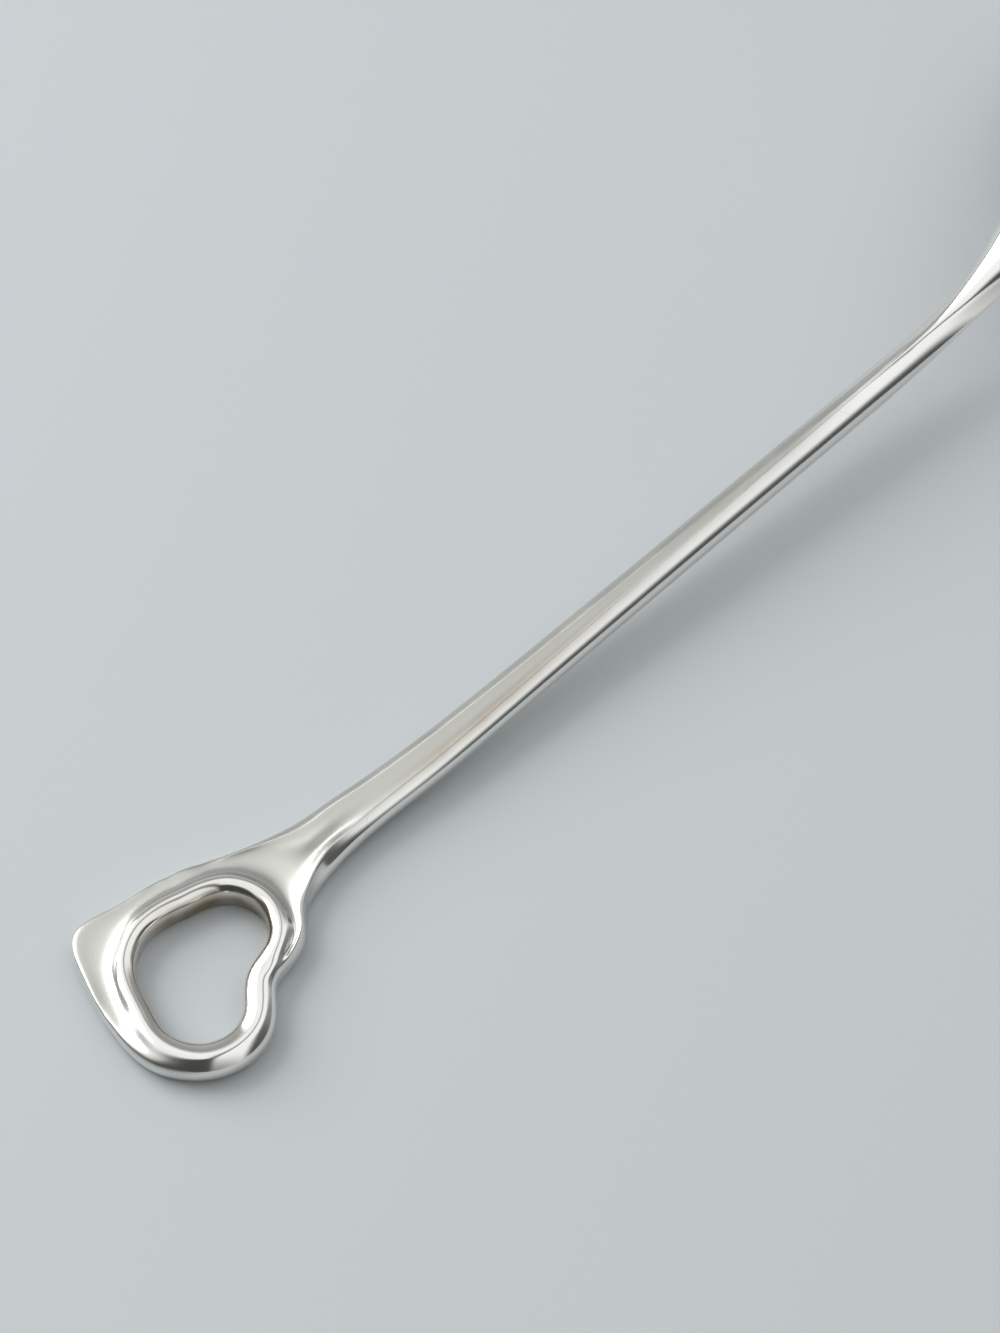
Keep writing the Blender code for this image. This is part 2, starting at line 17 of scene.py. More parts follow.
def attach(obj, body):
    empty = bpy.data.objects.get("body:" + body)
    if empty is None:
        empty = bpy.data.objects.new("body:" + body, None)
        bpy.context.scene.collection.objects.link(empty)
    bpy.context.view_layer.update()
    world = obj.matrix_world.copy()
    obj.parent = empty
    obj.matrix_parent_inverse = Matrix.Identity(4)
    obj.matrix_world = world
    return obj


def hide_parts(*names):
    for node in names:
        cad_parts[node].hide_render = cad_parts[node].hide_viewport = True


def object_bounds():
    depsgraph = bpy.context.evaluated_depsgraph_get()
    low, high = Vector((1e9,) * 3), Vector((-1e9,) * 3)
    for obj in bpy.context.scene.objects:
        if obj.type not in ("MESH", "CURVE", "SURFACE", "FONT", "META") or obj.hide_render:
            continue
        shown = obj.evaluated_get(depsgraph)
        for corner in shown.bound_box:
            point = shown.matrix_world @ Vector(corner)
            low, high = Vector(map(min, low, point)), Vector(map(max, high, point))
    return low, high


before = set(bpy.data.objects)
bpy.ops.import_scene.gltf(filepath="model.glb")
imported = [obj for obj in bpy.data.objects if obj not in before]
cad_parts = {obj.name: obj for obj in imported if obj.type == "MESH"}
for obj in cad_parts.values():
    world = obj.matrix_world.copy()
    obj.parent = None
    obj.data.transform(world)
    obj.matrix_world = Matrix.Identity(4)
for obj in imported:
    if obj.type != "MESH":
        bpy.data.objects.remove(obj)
solid_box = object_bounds()
MM = 0.001
print("solids:", ", ".join(sorted(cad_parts)))

# %% [markdown]
# ## The heart's line
# The finger loop is a thick wire bent into a heart. A heart can be drawn by eye with a curve, but
# the textbook way is exact: a square that stands on its tip, with a half circle on each of its
# upper sides. This heart leans, so all its places are found from one direction, from its tip to its
# cleft.

# %% Draw the square and the half circles
HEART_SIDE = 9.2 * MM
LOBE_RADIUS = HEART_SIDE / 2
TIP_ROUNDING = 6.2 * MM
HEART_TURN = radians(121)
LOBE_ASIDE = 0.6 * MM


def heading(angle):
    return np.array((cos(angle), sin(angle)))


to_cleft = HEART_TURN + pi
half_diagonal = HEART_SIDE / sqrt(2)
lobe_along = to_cleft + pi / 2
stem_lobe = np.array((0.0, -LOBE_ASIDE))
heart_tip = (stem_lobe - heading(to_cleft) * half_diagonal * 1.5
             - heading(lobe_along) * half_diagonal / 2)
end_lobe = stem_lobe - heading(lobe_along) * half_diagonal
cleft = heart_tip + heading(to_cleft) * half_diagonal * 2
tip_centre = heart_tip + heading(to_cleft) * TIP_ROUNDING * sqrt(2)
stem_flank = to_cleft + radians(135)
end_flank = to_cleft - radians(135)
print("the heart is drawn on a square with sides of", round(HEART_SIDE / MM, 1), "mm")

# %% [markdown]
# ## Stations on the line
# The wire's section changes on its way round. So the line is kept as stations, and each knows its
# place and which way is outwards, so that a section can be set on it. It also knows the stretch
# that it belongs to, how slim the bead is there, and how far the flat web beside the bead has come
# out.

# %% Set stations on the heart's line
CLEFT_FILL = 0.7 * MM
stations = []


def stand(centre, radius, angle, stretch, slim=0.0, web_share=1.0):
    stations.append((centre + heading(angle) * radius, heading(angle), stretch, slim, web_share))


stand(stem_lobe, LOBE_RADIUS, stem_flank, "flank", 1)
for turn in (22.5, 40.5, 58.5, 76.5, 94.5):
    stand(stem_lobe, LOBE_RADIUS, stem_flank - radians(turn), "stem", 1)
for turn, stretch, slim in ((116, "rail", 0.8), (137, "rail", 0.75), (158, "plain", 0.6)):
    stand(stem_lobe, LOBE_RADIUS, stem_flank - radians(turn), stretch, slim)
stand(cleft, CLEFT_FILL, to_cleft, "plain", 0.45)
for turn, slim in ((157.5, 0.3), (135, 0.15), (112.5, 0), (90, 0), (67.5, 0)):
    stand(end_lobe, LOBE_RADIUS, end_flank + radians(turn), "plain", slim)
for turn, web_share in ((45, 0.15), (22.5, 0.4), (0, 0.7)):
    stand(end_lobe, LOBE_RADIUS, end_flank + radians(turn), "flank", 0.1, web_share)
flank_middle = (HEART_SIDE + TIP_ROUNDING) / 2
stand(heart_tip + heading(end_flank + pi / 2) * flank_middle, 0, end_flank, "flank", 0.3, 0.9)
for turn, stretch, slim in ((0, "flank", 0.6), (22.5, "tip side", 0.8), (45, "tip", 1),
                            (67.5, "tip side", 1), (90, "flank", 1)):
    stand(tip_centre, TIP_ROUNDING, end_flank - radians(turn), stretch, slim)
stand(heart_tip + heading(stem_flank - pi / 2) * flank_middle, 0, stem_flank, "flank", 1)

stretches = [station[2] for station in stations]
corner = stretches.index("tip")
root = [number for number, stretch in enumerate(stretches) if stretch == "stem"]
rail = [number for number, stretch in enumerate(stretches) if stretch == "rail"]
print(len(stations), "stations round the heart")

# %% [markdown]
# ## The ring's section
# Round the heart's lower lobe the loop is a round bead. At its tip, along its flanks and at the
# stem's root a flat web joins the bead: it lies lower than the bead's crown, ends in an upright
# wall, and meets the bead in a soft fillet. Beside the web the bead is slimmer and squarer, with a
# broad crown. It is drawn as a superellipse, which is a circle whose points are pushed towards the
# corners of the square around it. All sections have the same ten points in the same order, so that
# one can run into the next.

# %% Draw the ring's section
RING_THICKNESS = 2.8 * MM
RING_RADIUS = RING_THICKNESS / 2
TABLE_CUT = 0.2 * MM
WEB_DROP = 0.7 * MM
WEB_HEIGHT = RING_THICKNESS - TABLE_CUT - WEB_DROP
BEAD_SLIM = 0.25
BEAD_SQUARE = 1.0  # 0 leaves the bead round
INNER_TURNS = (-140, 180, 132, 86)
OUTER_TURNS = (60, 30, 3, -24, -54)
BOTTOM_TURN = -95
FILLET_TURN = radians(30)
FILLET_SHARE = 0.62
FILLET_RISE = 0.1 * MM
WALL_TOP_SHARE, WALL_FOOT_SHARE, FOOT_SHARE = 0.72, 0.38, 0.07
FOOT_INSET = 0.55 * MM
EDGE, WALL_TOP, WALL_FOOT, FOOT = 5, 6, 7, 8  # places of the web's points in a section


def ring_section(point, outward, slim, web=0.0, bulge=0.0, rail_rise=0.0, web_share=1.0):
    """Up the inner wall, over the crown, down the outer wall, and the bottom."""
    half_width = RING_RADIUS * (1 - BEAD_SLIM * slim)

    def at(across, height):
        return (*(point + outward * across), height)

    def on_bead(turn):
        around = heading(radians(turn))
        across, up = np.sign(around) * abs(around) ** (2 / (2 + BEAD_SQUARE * slim))
        return at(half_width * (1 + across) - RING_RADIUS, RING_RADIUS * (1 + up) - TABLE_CUT)

    outer = np.array([on_bead(turn) for turn in OUTER_TURNS])
    if web:
        fillet = min(half_width * (1 + cos(FILLET_TURN)) - RING_RADIUS, web * FILLET_SHARE)
        wall = web + bulge
        plate = [at(fillet, WEB_HEIGHT + FILLET_RISE), at(web, WEB_HEIGHT + rail_rise),
                 at(wall, WEB_HEIGHT * WALL_TOP_SHARE), at(wall, WEB_HEIGHT * WALL_FOOT_SHARE),
                 at(wall - FOOT_INSET, WEB_HEIGHT * FOOT_SHARE)]
        outer += (np.array(plate) - outer) * web_share
    return [on_bead(turn) for turn in INNER_TURNS] + [*outer, on_bead(BOTTOM_TURN)]


print("the bead is", round(RING_THICKNESS / MM, 1), "mm thick, and the web's top lies",
      round(WEB_HEIGHT / MM, 1), "mm up")

# %% [markdown]
# ## How far the web reaches
# The web is widest at the heart's tip, where it fills the corner, and at the stem's root. Along the
# outer flank its edge bows out from the corner and runs out slowly, so that the outline stays one
# smooth curve. Beside the root the web runs on along the bead as a low rail, which is the end of
# the stem's right edge.

# %% Set a section on each station
TIP_REACH = 3.6 * MM
FLANK_REACH = RING_RADIUS + 0.3 * MM
END_FLANK_REACH = RING_RADIUS + 0.6 * MM
TIP_BOW = 0.4 * MM
RAIL_RISE = 0.3 * MM
WALL_BULGE, RAIL_BULGE, ROOT_BULGE = 0.1 * MM, 0.3 * MM, 0.4 * MM
root_reach = dict(zip(root, (0.62, 0.8, 0.88, 0.8, 0.62)))  # in thicknesses of the ring
rail_share = dict(zip(root + rail, (0, 0, 0, 0.3, 0.8, 0.9, 0.5)))
rail_reach = dict(zip(rail, (1.15 * MM, 0.8 * MM)))
tip_point = stations[corner][0] + stations[corner][1] * TIP_REACH

ring_sections = []
for number, (point, outward, stretch, slim, web_share) in enumerate(stations):
    web, bulge = 0.0, WALL_BULGE
    beside_end = rail[-1] < number < corner
    flank_reach = END_FLANK_REACH if beside_end else FLANK_REACH
    if stretch == "tip":
        web = TIP_REACH
    elif stretch == "tip side":
        side_point, side_outward, *_ = stations[2 * number - corner]
        half_way = (tip_point + side_point + side_outward * flank_reach) / 2
        web = (half_way - point) @ outward + TIP_BOW * beside_end
    elif stretch == "flank":
        web = flank_reach
    elif stretch == "rail":
        web, bulge = rail_reach[number], RAIL_BULGE
    elif stretch == "stem":
        web, bulge = root_reach[number] * RING_THICKNESS, ROOT_BULGE
    rise = RAIL_RISE * rail_share.get(number, 0)
    ring_sections.append(ring_section(point, outward, slim, web, bulge, rise, web_share))
print("the web reaches", round(TIP_REACH / MM, 1), "mm from the wire's middle at the heart's tip")

# %% [markdown]
# ## Extruding the ring
# A ring with changing sections could be a curve with a bevel object, but then the stem couldn't
# grow out of it. So a circle of ten points is extruded from station to station, as one would by
# hand, and each time its points are moved to their drawn places. A bridge between the last section
# and the first closes the ring. The colour attribute for the finish is added at once, because a
# later one would make the script lose track of its points.

# %% Extrude a circle round the heart
bpy.ops.object.select_all(action="DESELECT")
bpy.ops.mesh.primitive_circle_add(vertices=len(ring_sections[0]), radius=RING_RADIUS,
                                  enter_editmode=True)
form = bpy.context.object
form.name = "spoon_form"
cage = bmesh.from_edit_mesh(form.data)
finish = cage.verts.layers.float_color.new("finish")


def select_points(points):
    bpy.ops.mesh.select_all(action="DESELECT")
    for point in points:
        point.select = True
    cage.select_flush(True)


def place(points, section):
    for point, drawn in zip(points, section):
        point.co = drawn


def draw_out(loop, section):
    """Extrude a loop of points to the next section, and give the new loop in the same order."""
    select_points(loop)
    bpy.ops.mesh.extrude_region_move()
    new_loop = []
    for point in loop:
        partners = [edge.other_vert(point) for edge in point.link_edges]
        new_loop.append(next(partner for partner in partners if partner.select))
    place(new_loop, section)
    return new_loop


ring = [list(cage.verts)]
place(ring[0], ring_sections[0])
for section in ring_sections[1:]:
    ring.append(draw_out(ring[-1], section))
select_points(ring[0] + ring[-1])
bpy.ops.mesh.bridge_edge_loops()
print("ring:", len(cage.verts), "points,", len(cage.faces), "faces")

# %% [markdown]
# ## The stem's section
# The stem is flat on the back and round at the sides and below, with a crease where the flat ends.
# It gets narrower and thicker towards the neck and rises from the table. At the root it sways to
# one side, and its right edge flares and lifts into the rail. A stretched cylinder can't do all
# that, so each section is drawn by itself.

# %% Draw the stem's section
ROOT_X = LOBE_RADIUS + RING_RADIUS + 3.3 * MM
STEM_LENGTH = 59 * MM
NECK_X = ROOT_X + STEM_LENGTH
BACK_AT_ROOT, BACK_AT_NECK = 2.3 * MM, 6.2 * MM
THICKNESS_AT_ROOT, THICKNESS_AT_NECK = 2.2 * MM, 3.0 * MM
FLAT_AT_ROOT, FLAT_AT_NECK = 2.5 * MM, 0.5 * MM
FLAT_TAPER = 1.7
CREASE_TILT = radians(16)
SIDE_TURNS = (48, 88, 135)
SIDE_ROUNDING = 0.56
SWAY, SWAY_LENGTH = 1.1 * MM, 18 * MM
FLARE, FLARE_LENGTH = 0.9 * MM, 7 * MM
GROOVE_DEPTH, RAIL_LENGTH = 0.15 * MM, 7.5 * MM


def mix(start, end, share):
    return start + (end - start) * share


def smoothstep(share):
    share = min(max(share, 0.0), 1.0)
    return share * share * (3 - 2 * share)


def fading(amount, x, length):
    """An amount that is whole at the stem's root and fades to nothing over a length."""
    return amount * max(1 - (x - ROOT_X) / length, 0.0) ** 2


def stem_middle(x):
    return fading(SWAY, x, SWAY_LENGTH)


def stem_section(x):
    """Five points on the back, two on the right side, five below and two on the left side."""
    share = (x - ROOT_X) / STEM_LENGTH
    flat = mix(FLAT_AT_NECK, FLAT_AT_ROOT, (1 - min(share, 1)) ** FLAT_TAPER)
    thickness = mix(THICKNESS_AT_ROOT, THICKNESS_AT_NECK, smoothstep(share))
    top = mix(BACK_AT_ROOT, BACK_AT_NECK, share)
    radius = thickness * SIDE_ROUNDING
    half = [(flat / 2, top)]
    for turn in SIDE_TURNS:
        half.append((flat / 2 + radius * (sin(radians(turn)) - sin(CREASE_TILT)),
                     top + radius * (cos(radians(turn)) - cos(CREASE_TILT))))
    middle = stem_middle(x)
    flare = fading(FLARE, x, FLARE_LENGTH)
    left = [(x, middle + out, height) for out, height in half]
    right = [(x, middle - out - flare, height) for out, height in half]
    right[0] = (x, right[0][1], top + fading(RAIL_RISE, x, RAIL_LENGTH))

    def across(start, end, height):
        between = [(x, mix(start[1], end[1], part), height) for part in (0.25, 0.5, 0.75)]
        return [start] + between + [end]

    back = across(left[0], right[0], top)
    back[3] = (x, back[3][1], top - fading(GROOVE_DEPTH, x, RAIL_LENGTH))
    below = across(right[3], left[3], top - thickness)
    return back + right[1:3] + below + left[2:0:-1]


print("the flat is", round(FLAT_AT_ROOT / MM, 1), "mm wide at the root and",
      round(FLAT_AT_NECK / MM, 1), "mm at the neck")

# %% [markdown]
# ## Growing the stem out of the ring
# A stem that is only pushed into the ring would leave a hard seam. Instead the faces of the web's
# wall at the root are deleted, and the rim of the hole, which has fourteen points like the stem's
# section, is extruded.

# %% Open the ring at the root and extrude the stem
STEM_ROWS = (0, 0.055, 0.125, 0.215, 0.335, 0.47, 0.605, 0.74, 0.875, 1)

attached = [ring[number] for number in root]
select_points([point for section in attached for point in section[EDGE:FOOT + 1]])
bpy.ops.mesh.delete(type="FACE")
first, last = attached[0], attached[-1]
mouth = ([section[EDGE] for section in attached] + [last[WALL_TOP], last[WALL_FOOT]]
         + [section[FOOT] for section in attached[::-1]] + [first[WALL_FOOT], first[WALL_TOP]])
stem_rows = []
row = mouth
for share in STEM_ROWS:
    row = draw_out(row, stem_section(ROOT_X + STEM_LENGTH * share))
    stem_rows.append(row)
print("stem:", len(stem_rows), "rows,", round(STEM_LENGTH / MM), "mm long")

# %% [markdown]
# ## The bowl's curves
# A bowl is easiest to describe by three lines: the rim's outline seen from above, the rim's height,
# and the ridge along the middle of the back. From the widest place to the tip all of them follow
# one ellipse. Towards the neck the ridge leaves the ellipse with the same bend, so that no
# reflection breaks there.

# %% Draw the ridge and the rim's height
SHOULDER_LENGTH = 41 * MM
FRONT_LENGTH = 24.5 * MM
WALL = 1.3 * MM
DOME_HEIGHT = 8 * MM + WALL
RIM_SLOPE = tan(radians(11.3))
WIDEST_X = NECK_X + SHOULDER_LENGTH
TIP_X = WIDEST_X + FRONT_LENGTH


def rim_plane(x):
    return RIM_SLOPE * (TIP_X - x)


def ridge_height(x):
    """The back's middle line from the neck to the widest place."""
    share = (x - NECK_X) / SHOULDER_LENGTH
    rest = 1 - share
    start_slope = (BACK_AT_NECK - BACK_AT_ROOT) / STEM_LENGTH * SHOULDER_LENGTH
    end_bend = -DOME_HEIGHT * (SHOULDER_LENGTH / FRONT_LENGTH) ** 2
    end = rim_plane(WIDEST_X) + DOME_HEIGHT
    height = mix(BACK_AT_NECK, end, share ** 3 * (10 - 15 * share + 6 * share ** 2))
    height += start_slope * share * rest ** 3 * (1 + 3 * share)
    height += RIM_SLOPE * SHOULDER_LENGTH * share ** 3 * rest * (4 - 3 * share)
    return height + end_bend * share ** 3 * rest ** 2 / 2


def rim_height(x):
    if x > WIDEST_X:
        return rim_plane(x)
    return min(rim_plane(x), ridge_height(x) - THICKNESS_AT_NECK / 2)


print("the ridge is", round(ridge_height(WIDEST_X) / MM, 1), "mm high at the widest place")

# %% [markdown]
# ## The bowl's outline
# Seen from above the bowl is an egg with its blunt end at the tip. A circle that is scaled would
# have no shoulder, so the outline is a curve that leaves the neck almost straight, swells late, and
# joins the front's ellipse with the same bend.

# %% Draw the rim's outline
HALF_WIDTH = 15 * MM
SHOULDER_POWER = 5.5  # a higher power keeps the shoulder slim for longer
NECK_SHARE, HOLLOW_NECK_SHARE = 0.42, 0.2


def front_fall(x, inset):
    """The front's ellipse, from 1 at the widest place to 0 at the tip."""
    return sqrt(max(1 - ((x - WIDEST_X) / (FRONT_LENGTH - inset)) ** 2, 0.0))


def rim_half_width(x, inset=0.0):
    widest = HALF_WIDTH - inset
    if x > WIDEST_X:
        return widest * front_fall(x, inset)
    neck = max(THICKNESS_AT_NECK * NECK_SHARE - inset, THICKNESS_AT_NECK * HOLLOW_NECK_SHARE)
    end_bend = -(SHOULDER_LENGTH / (FRONT_LENGTH - inset)) ** 2 * widest / (widest - neck)
    square = (end_bend + SHOULDER_POWER ** 2 + SHOULDER_POWER) / 2
    straight = -SHOULDER_POWER - 2 * square
    share = (x - NECK_X) / SHOULDER_LENGTH
    swell = 1 - straight - square + straight * share + square * share ** 2
    return mix(neck, widest, share ** SHOULDER_POWER * swell)


print("the bowl is", round(2 * rim_half_width(WIDEST_X) / MM, 1), "mm wide")

# %% [markdown]
# ## The bowl's sections
# Outside and inside are the same dome, the inside with the wall as its inset. Each section keeps
# the stem's fourteen points: five over the back, a point on the rim's round at either side, the
# rim, and five inside. Near the neck the stem's section turns into the bowl's, a little more with
# every row.

# %% Draw the sections of the shoulder
BACK_SHARES = [sin(radians(turn)) for turn in (52, 27, 0, -27, -52)]
HOLLOW_SHARES = [sin(radians(turn)) for turn in (-90, -46, 0, 46, 90)]
RIM_SHARE = sin(radians(78))
HOLLOW_RUN_IN = 20.4 * MM
SECTION_RUN_IN = 18.5 * MM


def dome_point(x, y, inset=0.0):
    if x > WIDEST_X:
        rise = (DOME_HEIGHT - inset) * front_fall(x, inset)
    else:
        rise = ridge_height(x) - rim_height(x)
        if inset:
            rise -= mix(THICKNESS_AT_NECK, inset, smoothstep((x - NECK_X) / HOLLOW_RUN_IN))
    spread = min(abs(y) / rim_half_width(x, inset), 1.0)
    return x, y, rim_height(x) + rise * sqrt(1 - spread ** 2)


def shoulder_section(x):
    width = rim_half_width(x)
    inside = rim_half_width(x, WALL)
    back = [dome_point(x, width * share) for share in BACK_SHARES]
    hollow = [dome_point(x, inside * share, WALL) for share in HOLLOW_SHARES]
    right = [dome_point(x, -width * RIM_SHARE), (x, -width, rim_height(x))]
    left = [(x, width, rim_height(x)), dome_point(x, width * RIM_SHARE)]
    bowl = np.array(back + right + hollow + left)
    return mix(np.array(stem_section(x)), bowl, smoothstep((x - NECK_X) / SECTION_RUN_IN))


print("a section has", len(shoulder_section(WIDEST_X)), "points")

# %% [markdown]
# ## The front of the bowl
# Straight sections would crowd together at the tip and leave long thin faces there. So the sections
# of the front half bow towards the tip, and their ends are spread evenly round the rim.

# %% Draw the sections of the front
LINE_PLACES = (1, 0.52, 0, -0.52, -1)


def front_point(turn, share, inset=0.0):
    """A point of the front half: turn from the spoon's line, share of the way out to the rim."""
    x = WIDEST_X + (FRONT_LENGTH - inset) * cos(turn) * share
    y = (HALF_WIDTH - inset) * sin(turn) * share
    return (x, y, rim_height(x)) if share == 1 else dome_point(x, y, inset)


def bowed_line(side, ridge_share, inset=0.0):
    """Five points across the front half, on a line that bows towards the tip."""
    ridge_x = WIDEST_X + (FRONT_LENGTH - inset) * ridge_share
    return [dome_point(mix(ridge_x, side[0], aside ** 2), side[1] * aside, inset)
            for aside in LINE_PLACES]


def front_section(turn, ridge_share, hollow):
    back = bowed_line(front_point(turn, BACK_SHARES[0]), ridge_share)
    right = [front_point(-turn, RIM_SHARE), front_point(-turn, 1)]
    left = [front_point(turn, 1), front_point(turn, RIM_SHARE)]
    return back + right + hollow + left


print("the front is", round((front_point(0, 1)[0] - WIDEST_X) / MM, 1), "mm long")

# %% [markdown]
# ## Extruding the bowl and closing its tip
# The stem's last row is extruded on through the shoulder and the front. The opening that is left at
# the tip is a loop of fourteen points. A single big face would pinch the surface there, so the
# middle of the back is extruded on over the rim, and the gaps around it are filled with four-sided
# faces, one by one.

# %% Extrude the bowl and fill its tip
SHOULDER_ROWS = (0.13, 0.25, 0.37, 0.49, 0.61, 0.74, 0.87, 1)
FRONT_ROWS = ((72, 0.33, 0.36), (54, 0.60, 0.68))  # turn, and how far the back and the hollow bow
TIP_TURN = radians(36)
TIP_PLACES = (-1, -0.5, 0, 0.5, 1)

for share in SHOULDER_ROWS:
    row = draw_out(row, shoulder_section(NECK_X + SHOULDER_LENGTH * share))
for degrees, ridge_share, hollow_share in FRONT_ROWS:
    turn = radians(degrees)
    hollow = bowed_line(front_point(turn, 1, WALL), hollow_share, WALL)[::-1]
    row = draw_out(row, front_section(turn, ridge_share, hollow))
tip_hollow = [front_point(TIP_TURN * aside, 1, WALL) for aside in TIP_PLACES]
tip = draw_out(row, front_section(TIP_TURN, BACK_SHARES[0], tip_hollow))

middle = tip[1:4]
across_tip = []
for share in (RIM_SHARE, 1):
    middle = draw_out(middle, [front_point(TIP_TURN * aside, share) for aside in (0.5, 0, -0.5)])
    across_tip.append(middle)
over, rim = across_tip
open_quads = [(tip[0], tip[1], over[0], tip[13]), (tip[13], over[0], rim[0], tip[12]),
              (tip[12], rim[0], tip[10], tip[11]), (rim[0], rim[1], tip[9], tip[10]),
              (rim[1], rim[2], tip[8], tip[9]), (rim[2], tip[6], tip[7], tip[8]),
              (over[2], tip[5], tip[6], rim[2]), (tip[3], tip[4], tip[5], over[2])]
for quad in open_quads:
    select_points(quad)
    bpy.ops.mesh.edge_face_add()
print("cage:", len(cage.verts), "points,", len(cage.faces), "faces")

# %% [markdown]
# ## Creases
# Smoothing would turn the edges of the flat back into soft rounds. On the spoon they are crisp but
# not sharp, as polishing leaves them. A bevel would add rows of faces, while a crease only tells
# the smoothing to hold back, and it can fade out towards the neck.

# %% Crease the edges of the flat back and of the web
BACK_CREASE, NECK_CREASE = 0.5, 0.35
RAIL_CREASE = 0.3
WEB_CREASE, WEB_END_CREASE = 0.45, 0.15


def crease_along(points, sharpness):
    select_points(points)
    bpy.ops.transform.edge_crease(value=sharpness)


left_edge = [section[0] for section in stem_rows]
right_edge = [section[4] for section in stem_rows]
tip_edge = [ring[number % len(ring)][EDGE] for number in range(corner - 2, corner + 5)]
crease_along([first[EDGE]] + left_edge[:-2], BACK_CREASE)
crease_along([last[EDGE], right_edge[0]], RAIL_CREASE)
crease_along(right_edge[:-2], BACK_CREASE)
crease_along(left_edge[-3:-1], NECK_CREASE)
crease_along(right_edge[-3:-1], NECK_CREASE)
crease_along(tip_edge[:5], WEB_CREASE)
crease_along(tip_edge[4:] + [first[EDGE]], WEB_END_CREASE)
crease = cage.edges.layers.float["crease_edge"]
print(sum(edge[crease] > 0 for edge in cage.edges), "creased edges")

# %% [markdown]
# ## Where the silver is satin, where it has tarnished, and where a dark reflection is painted
# The flat back is finished satin with fine abrasive, and so is the stem's left side. The bead, the
# right side and the bowl are polished. Air turns silver brown where no cloth reaches, such as the
# inner wall of the loop. The same brown is also painted on the middle of the stem's back, towards
# its right edge, as a darker reflection there. All of these are noted on the cage's points as the
# red and green of a colour attribute, because they follow the form and no pattern could.

# %% Note satin, tarnish and a painted dark reflection on the cage
EDGE_SATIN, FILLET_SATIN = 0.9, 0.5
WALL_TARNISH = (1.0, 1.0, 0.35)  # from the foot of the loop's inner wall upwards
RUBBED = 0.4  # what is left of the tarnish where a finger rubs
# Points 0 to 4 of a stem's row cross its back from left to right, and 13 is on its left side
STEM_SATIN = {0: 0.9, 1: 1, 2: 1, 3: 1, 4: 0.6, 13: 0.6}
SATIN_HOLD = 20  # a high power holds the satin almost to the neck
# A dark brown reflection is painted on the middle of the stem's back, near its right edge
STEM_PAINTED_REFLECTION = {3: (0.3, 0.35), 4: (0.45, 0.5), 5: (0.2, 0.2)}  # by row, on points 3 and 4


def note(point, satin=0.0, tarnish_and_painted_reflection=0.0):
    before = point[finish]
    point[finish] = (max(before[0], satin), max(before[1], tarnish_and_painted_reflection), 0, 1)


for point in cage.verts:
    point[finish] = (0, 0, 0, 1)
for section, stretch in zip(ring, stretches):
    if stretch in ("stem", "tip", "tip side", "flank"):
        note(section[EDGE], satin=EDGE_SATIN)
        note(section[EDGE - 1], satin=FILLET_SATIN)
    kept = 1 if stretch in ("stem", "flank", "rail") else RUBBED
    for point, amount in zip(section, WALL_TARNISH):
        note(point, tarnish_and_painted_reflection=amount * kept)
for number, section in enumerate(stem_rows):
    held = 1 - (number / (len(stem_rows) - 1)) ** SATIN_HOLD
    for column, satin in STEM_SATIN.items():
        note(section[column], satin=satin * held)
# Paint the dark brown reflection on the middle of the stem's back
for number, amounts in STEM_PAINTED_REFLECTION.items():
    for column, amount in zip((3, 4), amounts):
        note(stem_rows[number][column], tarnish_and_painted_reflection=amount)
print(sum(point[finish][0] > 0 for point in cage.verts), "satin points and",
      sum(point[finish][1] > 0 for point in cage.verts), "tarnished ones")

# %% [markdown]
# ## Smoothing the cage
# Subdivision Surface pulls the surface inside its cage, so a form drawn at its true size would come
# out thin. The cage is therefore pushed out, a little in each round, until the smoothed surface
# passes through the points that were drawn.

# %% Push the cage out until the smoothed surface fits
FITTING_LEVEL = 1
FITTING_ROUNDS = 14

bpy.ops.mesh.select_all(action="SELECT")
bpy.ops.mesh.normals_make_consistent(inside=False)
bpy.ops.object.mode_set(mode="OBJECT")
bpy.ops.object.modifier_add(type="SUBSURF")
smoothing = form.modifiers[-1]
smoothing.levels = smoothing.render_levels = FITTING_LEVEL


def smoothed_points():
    bpy.context.view_layer.update()
    mesh = form.evaluated_get(bpy.context.evaluated_depsgraph_get()).data
    points = np.empty(len(mesh.vertices) * 3, np.float32)
    mesh.vertices.foreach_get("co", points)
    return points.reshape(-1, 3)


drawn = np.array([point.co for point in form.data.vertices], np.float32)
pushed = drawn.copy()
for fitting_round in range(FITTING_ROUNDS):
    pushed += drawn - smoothed_points()[:len(drawn)]
    form.data.vertices.foreach_set("co", pushed.ravel())
    form.data.update()
miss = np.linalg.norm(drawn - smoothed_points()[:len(drawn)], axis=1).max()
print("the surface misses the drawn points by at most", round(float(miss) / MM, 3), "mm")

# %% [markdown]
# ## Bringing the form to the solids' place
# The form is moved so that it has its middle at the origin, where the solids have theirs, and the
# modifier is applied at a finer level. That swells it by a hundredth of a millimetre past the
# coarser solids, so it is drawn in to their box.

# %% Centre the form, smooth it finely and draw it in
FINAL_LEVEL = 3

reach = smoothed_points()[:, 0]
middle_x = float(reach.min() + reach.max()) / 2
form.data.transform(Matrix.Translation((-middle_x, 0, 0)))
smoothing.levels = smoothing.render_levels = FINAL_LEVEL
bpy.ops.object.modifier_apply(modifier=smoothing.name)
bpy.ops.object.shade_smooth()
fine = np.array([point.co for point in form.data.vertices])
low, high = np.array(solid_box)
draw_in = np.minimum(high / fine.max(axis=0), 1)
draw_in[:2] = np.minimum(draw_in[:2], low[:2] / fine.min(axis=0)[:2])
form.data.transform(Matrix.Diagonal((*draw_in, 1)))
print("the form has", len(form.data.polygons), "faces, and its middle was",
      round(middle_x / MM, 3), "mm along")
print("it is drawn in by", *(round(float(1 - share) * 100, 3) for share in draw_in),
      "per cent in x, y and z")

# %% [markdown]
# ## The lines of the soldered joints
# The loop meets the stem in a V, seen from above, and the stem meets the bowl in a slanting scarf,
# seen from the side, because long joints hold better than straight ones. Each joint has a film of
# solder, so each line is drawn twice, a film's thickness apart.

